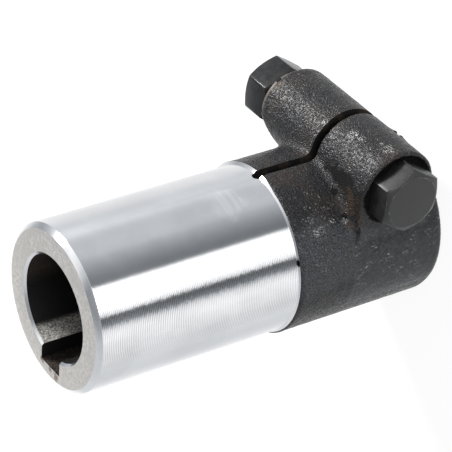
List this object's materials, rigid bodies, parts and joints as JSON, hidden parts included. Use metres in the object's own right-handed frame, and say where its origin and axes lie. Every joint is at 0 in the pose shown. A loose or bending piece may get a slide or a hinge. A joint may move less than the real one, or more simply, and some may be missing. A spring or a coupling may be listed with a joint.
{
  "type": "split clamp reducing bushing",
  "caption": "Reducing bushing with a turned steel sleeve, a keyed bore and a rough cast split clamp head, closed by a hexagon bolt, spring washer and nut across the slit",
  "frame": {"origin": "On the axis of the bore, in the plane of the end face of the clamp head, on which the part stands", "axes": "+Z runs along the bore from the clamp head to the keyed face of the sleeve. The slit and the clamp bolt are on the -Y side and the keyway on the +Y side. The bolt lies along X with its head at -X and its nut at +X"},
  "size_m": [0.0735, 0.0638, 0.1175],
  "materials": {
    "cast_iron_body": "rough cast clamp head with a little rust in the corners, sleeve and faces turned bright",
    "black_oxide_steel": "smooth black oxide",
    "spring_steel": "dull dark spring steel"
  },
  "bodies": {
    "root": {"bushing_body": "cast_iron_body", "clamp_bolt": "black_oxide_steel", "spring_washer": "spring_steel", "clamp_nut": "black_oxide_steel"}
  },
  "joints": []
}
